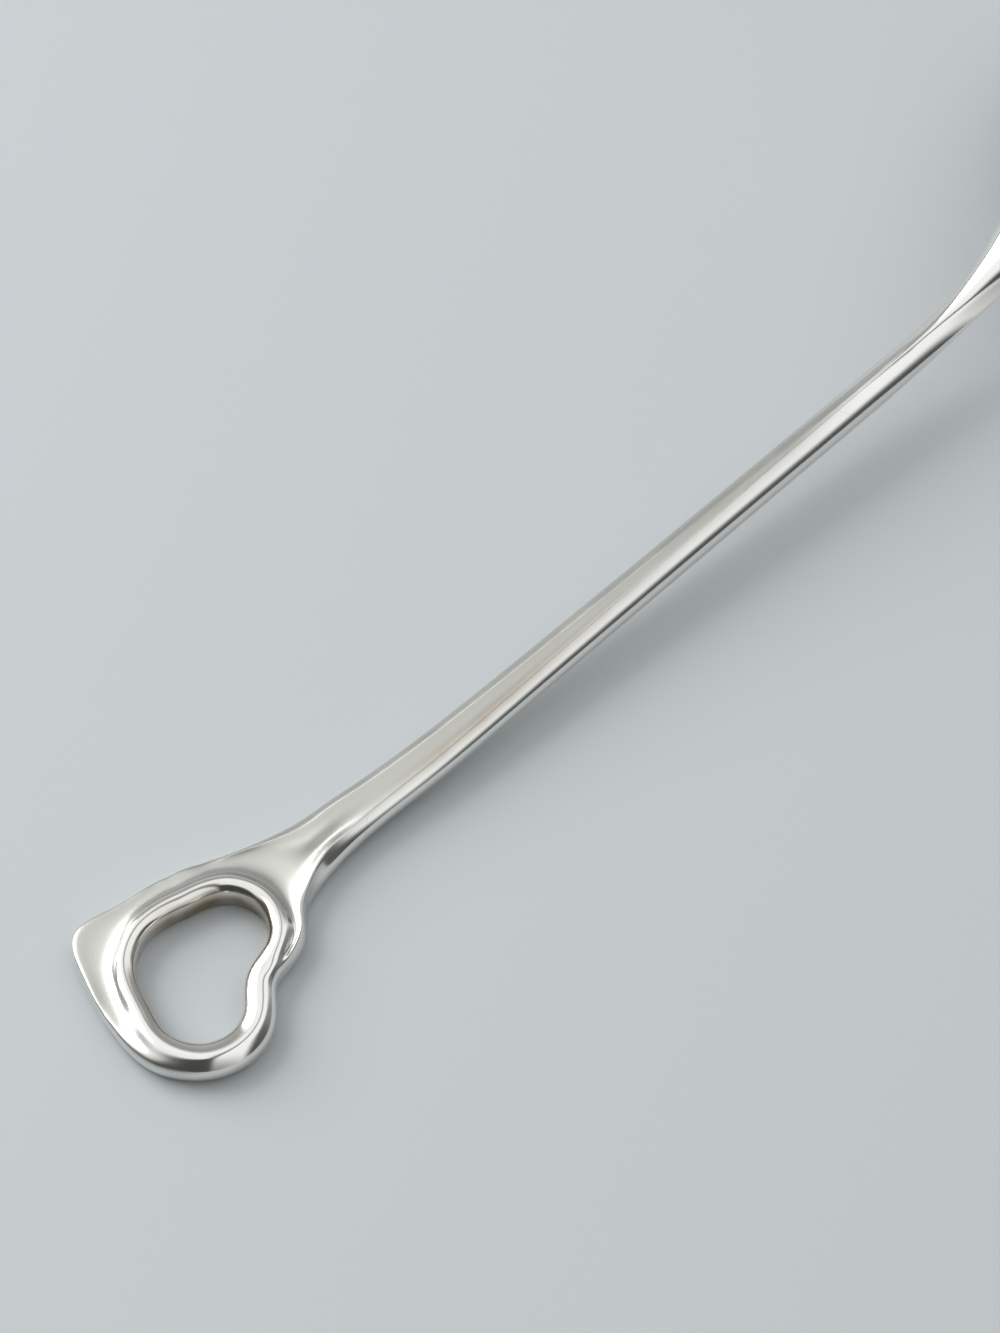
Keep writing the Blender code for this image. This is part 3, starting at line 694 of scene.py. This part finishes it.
# %% Draw the lines of the joints
FAR = 0.4  # well outside the spoon
FILM = 0.2 * MM
V_START, V_LENGTH, V_MARGIN = 3 * MM, 4 * MM, 0.9 * MM
SCARF_HALF = 6 * MM


def v_line(shift):
    place_x = ROOT_X + V_START
    x = place_x - middle_x + shift
    middle = stem_middle(place_x)
    side = (FLAT_AT_ROOT + THICKNESS_AT_ROOT) / 2 + V_MARGIN
    return [(x, FAR), (x, middle + side), (x + V_LENGTH, middle), (x, middle - side), (x, -FAR)]


def scarf_line(shift):
    x = NECK_X - middle_x + shift
    top = BACK_AT_NECK + THICKNESS_AT_NECK / 2
    bottom = BACK_AT_NECK - THICKNESS_AT_NECK * 1.5
    return [(x - SCARF_HALF, FAR), (x - SCARF_HALF, top), (x + SCARF_HALF, bottom),
            (x + SCARF_HALF, -FAR)]


print("the V is", round(V_LENGTH / MM), "mm long and the scarf", round(2 * SCARF_HALF / MM), "mm")

# %% [markdown]
# ## Cutters
# A knife cut would need a window. Boolean modifiers need none, and they leave closed pieces, so
# each side of a joint and each film gets a block to cut with. A block is a circle whose points are
# moved to the corners of its outline, filled and extruded. One more block takes off what would lie
# in the table.

# %% Make the cutters
def cutter(name, corners, along):
    bpy.ops.object.select_all(action="DESELECT")
    bpy.ops.mesh.primitive_circle_add(vertices=len(corners), fill_type="NGON", enter_editmode=True)
    outline = bmesh.from_edit_mesh(bpy.context.object.data)
    place(outline.verts, corners)
    bpy.ops.mesh.extrude_region_move(TRANSFORM_OT_translate={"value": along})
    bpy.ops.mesh.select_all(action="SELECT")
    bpy.ops.mesh.normals_make_consistent(inside=False)
    bpy.ops.object.mode_set(mode="OBJECT")
    bpy.context.object.name = name
    return bpy.context.object


def from_above(name, outline):
    return cutter(name, [(x, y, -FAR) for x, y in outline], (0, 0, 2 * FAR))


def from_side(name, outline):
    return cutter(name, [(x, -FAR, z) for x, z in outline], (0, 2 * FAR, 0))


loop_end = [(-FAR, -FAR), (-FAR, FAR)]
bowl_end = [(FAR, -FAR), (FAR, FAR)]
loop_side = from_above("loop_side", loop_end + v_line(-FILM / 2))
loop_film = from_above("loop_film", v_line(-FILM / 2) + v_line(FILM / 2)[::-1])
stem_root = from_above("stem_root", v_line(FILM / 2) + bowl_end)
stem_neck = from_side("stem_neck", loop_end + scarf_line(-FILM / 2))
neck_film = from_side("neck_film", scarf_line(-FILM / 2) + scarf_line(FILM / 2)[::-1])
bowl_side = from_side("bowl_side", scarf_line(FILM / 2) + bowl_end)
table = from_side("table", [(-FAR, -FAR), (FAR, -FAR), (FAR, 0), (-FAR, 0)])
cutters = (loop_side, loop_film, stem_root, stem_neck, neck_film, bowl_side, table)
print(len(cutters), "cutters")

# %% [markdown]
# ## Cutting the pieces
# Each piece is a copy of the whole form, and the cutters leave only its own part. Neighbours are
# cut along the same lines, so their faces meet exactly. A cut also disturbs the smooth shading
# beside it, and would show as a crease in polished metal. So a Data Transfer modifier gives each
# piece its normals and its finish back from the uncut form.

# %% Cut the pieces
def cut_piece(name, *cuts):
    bpy.ops.object.select_all(action="DESELECT")
    form.select_set(True)
    bpy.context.view_layer.objects.active = form
    bpy.ops.object.duplicate()
    piece = bpy.context.object
    piece.name = name
    for operation, shape in cuts:
        bpy.ops.object.modifier_add(type="BOOLEAN")
        cut = piece.modifiers[-1]
        cut.operation = operation
        cut.object = shape
        bpy.ops.object.modifier_apply(modifier=cut.name)
    bpy.ops.object.modifier_add(type="DATA_TRANSFER")
    transfer = piece.modifiers[-1]
    transfer.object = form
    transfer.use_loop_data = True
    transfer.data_types_loops = {"CUSTOM_NORMAL"}
    transfer.loop_mapping = "POLYINTERP_NEAREST"
    transfer.use_vert_data = True
    transfer.data_types_verts = {"COLOR_VERTEX"}
    transfer.vert_mapping = "POLYINTERP_NEAREST"
    bpy.ops.object.modifier_apply(modifier=transfer.name)
    print(name, "has", len(piece.data.polygons), "faces")
    return piece


loop_piece = cut_piece("heart_loop", ("INTERSECT", loop_side), ("DIFFERENCE", table))
loop_joint = cut_piece("loop_joint", ("INTERSECT", loop_film))
stem_piece = cut_piece("flat_stem", ("INTERSECT", stem_root), ("INTERSECT", stem_neck))
neck_joint = cut_piece("neck_joint", ("INTERSECT", neck_film))
bowl_piece = cut_piece("egg_bowl", ("INTERSECT", bowl_side), ("DIFFERENCE", table))
for shape in cutters + (form,):
    bpy.data.objects.remove(shape, do_unlink=True)

# %% [markdown]
# ## Each piece stands for its solid
# A piece hides the solid that it stands for, and moves with the spoon's one body.

# %% Put the pieces in the place of the solids
for piece, node, slot in ((loop_piece, "finger_loop", "silver"),
                          (loop_joint, "loop_solder", "solder"),
                          (stem_piece, "stem", "silver"),
                          (neck_joint, "bowl_solder", "solder"),
                          (bowl_piece, "bowl", "silver")):
    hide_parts(node)
    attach(piece, "root")
    print(piece.name, "stands for", node)

# %% [markdown]
# ## Helpers for nodes and colours
# A material is a tree of nodes, and each node takes several lines to add and link. A few helpers
# keep the next cells short. Colours are easiest to pick as hex codes, but Blender reckons with
# linear light, so one function turns a code into it.

# %% Helpers for nodes and colours
def linear(code):
    """An sRGB hex colour as linear light."""
    shares = [int(code[start:start + 2], 16) / 255 for start in (1, 3, 5)]
    light = [share / 12.92 if share <= 0.04045 else ((share + 0.055) / 1.055) ** 2.4
             for share in shares]
    return (*light, 1)


def add_node(tree, kind, inputs=(), **settings):
    """Add a node with its settings; an input is a value or another node's output."""
    node = tree.nodes.new(kind)
    for name, value in settings.items():
        setattr(node, name, value)
    for name, value in dict(inputs).items():
        if isinstance(value, bpy.types.NodeSocket):
            tree.links.new(value, node.inputs[name])
        else:
            node.inputs[name].default_value = value
    return node


def times(tree, one, other):
    return add_node(tree, "ShaderNodeMath", {0: one, 1: other}, operation="MULTIPLY").outputs[0]


def remap(tree, value, before, after):
    """Stretch one range of a value to another, and stop at its ends."""
    ends = {"Value": value, "From Min": before[0], "From Max": before[1],
            "To Min": after[0], "To Max": after[1]}
    return add_node(tree, "ShaderNodeMapRange", ends).outputs["Result"]


def dress(pieces, material):
    for piece in pieces:
        piece.data.materials.clear()
        piece.data.materials.append(material)


print("middle grey is", round(linear("#808080")[0], 3), "in linear light")

# %% [markdown]
# ## Polished sterling silver: its patterns
# Silver reflects nearly all light, so what the eye sees is its surroundings. The polish is never
# perfect: fine abrasive leaves hairlines along the stem, a polishing wheel leaves the surface
# faintly wavy, and handling leaves cloudy patches. An image could hold these marks, but noise in
# Object coordinates needs no unwrapping and runs on across the joints.

# %% Start the silver with its patterns
HAIRLINE_SPACING = 0.12 * MM
HAIRLINE_STRETCH = 0.04  # makes them 25 times as long as they are wide
WAVE_LENGTH = 6 * MM
CLOUD_WIDTH = 3 * MM

silver = bpy.data.materials.new("polished_sterling_silver")
silver.use_nodes = True
tree = silver.node_tree
shader = tree.nodes["Principled BSDF"]
shader.inputs["Metallic"].default_value = 1.0

marks = add_node(tree, "ShaderNodeAttribute", attribute_name="finish")
marks = add_node(tree, "ShaderNodeSeparateColor", {"Color": marks.outputs["Color"]})
satin, tarnish_and_painted_reflection = marks.outputs["Red"], marks.outputs["Green"]
on_spoon = add_node(tree, "ShaderNodeTexCoord").outputs["Object"]
along_stem = add_node(tree, "ShaderNodeMapping",
                      {"Vector": on_spoon, "Scale": (HAIRLINE_STRETCH, 1, 1)}).outputs["Vector"]


def noise(size, place_in, **inputs):
    inputs = {"Vector": place_in, "Scale": 1 / size, **inputs}
    return add_node(tree, "ShaderNodeTexNoise", inputs).outputs["Fac"]


hairlines = noise(HAIRLINE_SPACING, along_stem, Detail=3.0, Roughness=0.6)
waves = noise(WAVE_LENGTH, on_spoon, Detail=1.0)
clouds = noise(CLOUD_WIDTH, on_spoon, Detail=4.0)
print("silver has", len(tree.nodes), "nodes so far")

# %% [markdown]
# ## How rough the silver is
# The roughness tells satin from polish: a polished face mirrors the room, and satin blurs it.
# Clouds and hairlines only vary it by a few per cent, as too much of them would look like dirt.

# %% Mix the roughness
POLISHED_ROUGHNESS, SATIN_ROUGHNESS = 0.13, 0.37

rough = remap(tree, satin, (0, 1), (POLISHED_ROUGHNESS, SATIN_ROUGHNESS))
rough = times(tree, rough, remap(tree, clouds, (0.35, 0.7), (0.92, 1.12)))
rough = times(tree, rough, remap(tree, hairlines, (0.3, 0.7), (0.96, 1.04)))
tree.links.new(rough, shader.inputs["Roughness"])
print("roughness from", POLISHED_ROUGHNESS, "polished to", SATIN_ROUGHNESS, "satin")

# %% [markdown]
# ## The silver's colour
# Silver sends back a little more of the red than of the blue, so it is white with a breath of
# warmth. Satin scatters the light and looks a shade greyer than polish, and tarnish is brown over
# both, and patchy like the clouds. The same brown, on the middle of the stem's back, is a painted
# dark reflection. A Mix node for colours has its two colours at inputs 6 and 7 and its result at
# output 2.

# %% Mix the colour
# Tarnish, and the painted dark reflection on the stem, made patchy by the clouds
tarnish_and_reflection_share = times(tree, tarnish_and_painted_reflection, remap(tree, clouds, (0.3, 0.65), (0.45, 1.0)))
silver_tone = add_node(tree, "ShaderNodeMix",
                       {0: satin, 6: linear("#EFEDE8"), 7: linear("#BCBAB4")},
                       data_type="RGBA", name="polished to satin")
colour = add_node(tree, "ShaderNodeMix",
                  {0: tarnish_and_reflection_share, 6: silver_tone.outputs[2], 7: linear("#8C7044")}, data_type="RGBA")
tree.links.new(colour.outputs[2], shader.inputs["Base Color"])
print("silver has", len(tree.nodes), "nodes so far")

# %% [markdown]
# ## Hairlines and waves as bump
# Both are far too shallow for the mesh: the hairlines are less than a thousandth of a millimetre
# deep. A Bump node tilts the shading instead. The hairlines only show where the silver is satin.

# %% Add the bump and dress the silver pieces
HAIRLINE_DEPTH = 0.0006 * MM
WAVE_DEPTH = 0.012 * MM

lines = add_node(tree, "ShaderNodeBump", {"Height": times(tree, hairlines, satin), "Strength": 0.5,
                                          "Distance": HAIRLINE_DEPTH})
wavy = add_node(tree, "ShaderNodeBump", {"Height": waves, "Strength": 1.0, "Distance": WAVE_DEPTH,
                                         "Normal": lines.outputs["Normal"]})
tree.links.new(wavy.outputs["Normal"], shader.inputs["Normal"])
dress((loop_piece, stem_piece, bowl_piece), silver)
print("silver:", len(tree.nodes), "nodes")

# %% [markdown]
# ## Hard silver solder
# Solder for silver is mostly silver with some zinc and copper. Polished flush, it is a shade greyer
# than the silver beside it, and only someone who looks for the joint will find it. So it is a copy
# of the silver with another colour.

# %% Hard silver solder
solder = silver.copy()
solder.name = "hard_silver_solder"
solder.node_tree.nodes["polished to satin"].inputs[6].default_value = linear("#E9E7E1")
dress((loop_joint, neck_joint), solder)
print("solder:", len(solder.node_tree.nodes), "nodes")

# %% [markdown]
# ## The table
# Polished silver takes half of its look from the table that it lies on. A pale top with a faint
# gloss keeps the spoon's soft shadow and a hint of its mirror image.

# %% A pale lacquered table top
TABLE_SIZE = 3
TABLE_GAP = 0.02 * MM

bpy.ops.object.select_all(action="DESELECT")
bpy.ops.mesh.primitive_plane_add(size=TABLE_SIZE, location=(0, 0, -TABLE_GAP))
floor = bpy.context.object
floor.name = "table_top"
lacquer = bpy.data.materials.new("pale_lacquer")
lacquer.use_nodes = True
coat = lacquer.node_tree.nodes["Principled BSDF"]
coat.inputs["Base Color"].default_value = linear("#C3C8CA")
coat.inputs["Roughness"].default_value = 0.5
dress((floor,), lacquer)
print("the table top is", TABLE_SIZE, "m wide")

# %% [markdown]
# ## The room
# Metal shows its surroundings, so the room is what is seen in it. Lamps would do, but their edges
# come out hard in polished metal. So the room is painted by direction: two large soft panels over
# the spoon, with a dark gap between them that draws the thin line along the stem's crease, a far
# wall that lights the stem's left side, and a dark side towards the camera, which gives the bead
# its dark lower band.

# %% Paint the panels and the walls
TO_RIGHT = Vector((0.728, -0.685, 0))
TO_FAR = Vector((0.685, 0.728, 0))

world = bpy.data.worlds.new("studio_room")
bpy.context.scene.world = world
world.use_nodes = True
tree = world.node_tree
direction = add_node(tree, "ShaderNodeTexCoord").outputs["Generated"]
rightwards, farwards = (
    add_node(tree, "ShaderNodeVectorMath", {0: direction, 1: way}, operation="DOT_PRODUCT")
    for way in (TO_RIGHT, TO_FAR))


def paint(facing, *stops):
    """Stops with a brightness, from -1, the left or near horizon, to 1, the right or far one."""
    share = remap(tree, facing.outputs["Value"], (-1, 1), (0, 1))
    ramp = add_node(tree, "ShaderNodeValToRGB", {"Fac": share})
    ramp.color_ramp.interpolation = "EASE"
    while len(ramp.color_ramp.elements) < len(stops):
        ramp.color_ramp.elements.new(0.5)
    for element, (place_in_room, tone) in zip(ramp.color_ramp.elements, stops):
        element.position = (place_in_room + 1) / 2
        element.color = (tone, tone, tone, 1)
    return ramp.outputs["Color"]


above_across = paint(rightwards, (-0.9, 0), (-0.62, 1), (0.04, 1), (0.14, 0))
above_along = paint(farwards, (-0.45, 0), (-0.22, 1), (0.52, 1), (0.72, 0))
right_across = paint(rightwards, (0.16, 0), (0.29, 1), (0.72, 1), (0.88, 0))
right_along = paint(farwards, (-1, 0.25), (-0.4, 1), (0.52, 1), (0.72, 0))
walls = paint(farwards, (-0.6, 0.07), (-0.1, 0.12), (0.35, 0.26), (0.75, 0.36), (1, 0.5))
print("room:", len(tree.nodes), "nodes so far")

# %% [markdown]
# ## Lighting the panels
# A panel lies where both of its ramps are bright, so they are multiplied. The two panels are added,
# and where they lie their brightness takes the place of the walls'. They are a little brighter than
# white, so that their reflections are white in silver too.

# %% Light the panels
PANEL_BRIGHTNESS = 1.1

on_panels = add_node(tree, "ShaderNodeMath", {0: right_across, 1: right_along,
                                              2: times(tree, above_across, above_along)},
                     operation="MULTIPLY_ADD")
glow = add_node(tree, "ShaderNodeMix", {0: on_panels.outputs[0], 2: walls, 3: PANEL_BRIGHTNESS})
room = tree.nodes["Background"]
room.inputs["Color"].default_value = linear("#F6F9FA")
tree.links.new(glow.outputs[0], room.inputs["Strength"])
print("room:", len(tree.nodes), "nodes")

# %% [markdown]
# ## The lamp
# A painted room throws hardly any shadow. A lamp on the left, a little beyond the spoon, throws one
# to the right. It is a wide area lamp: a small one as strong would leave ragged glints along the
# edges.

# %% One lamp
TO_LAMP = (TO_RIGHT * -0.72 + TO_FAR * 0.4 + Vector((0, 0, 0.57))).normalized()
LAMP_DISTANCE = 0.8
LAMP_SIDE = 0.62
LAMP_BRIGHTNESS = 4.1

bpy.ops.object.light_add(type="AREA", location=TO_LAMP * LAMP_DISTANCE)
lamp = bpy.context.object
lamp.name = "lamp_on_the_left"
lamp.rotation_euler = TO_LAMP.to_track_quat("Z", "Y").to_euler()
lamp.data.size = LAMP_SIDE
lamp.data.energy = LAMP_BRIGHTNESS * pi * LAMP_SIDE ** 2
print("lamp:", round(lamp.data.energy, 1), "W")

# %% [markdown]
# ## The camera
# The photograph looks down on the spoon at a steep angle with a long lens: the loop is close at the
# lower left, and the stem runs out of the picture at the upper right. The Standard view transform
# shows the colours as they were picked.

# %% Set up the camera
CAMERA_PLACE = (-0.193598, -0.171790, 0.370491)
CAMERA_TILT, CAMERA_TURN = radians(33), radians(-43.25)

bpy.ops.object.camera_add(location=CAMERA_PLACE, rotation=(CAMERA_TILT, 0, CAMERA_TURN))
camera = bpy.context.object
camera.data.lens = 152.75
camera.data.sensor_width = 36
camera.data.clip_start = 0.01
bpy.context.scene.camera = camera
bpy.context.scene.view_settings.view_transform = "Standard"
print("camera:", camera.data.lens, "mm lens,", round(Vector(CAMERA_PLACE).length, 2), "m away")
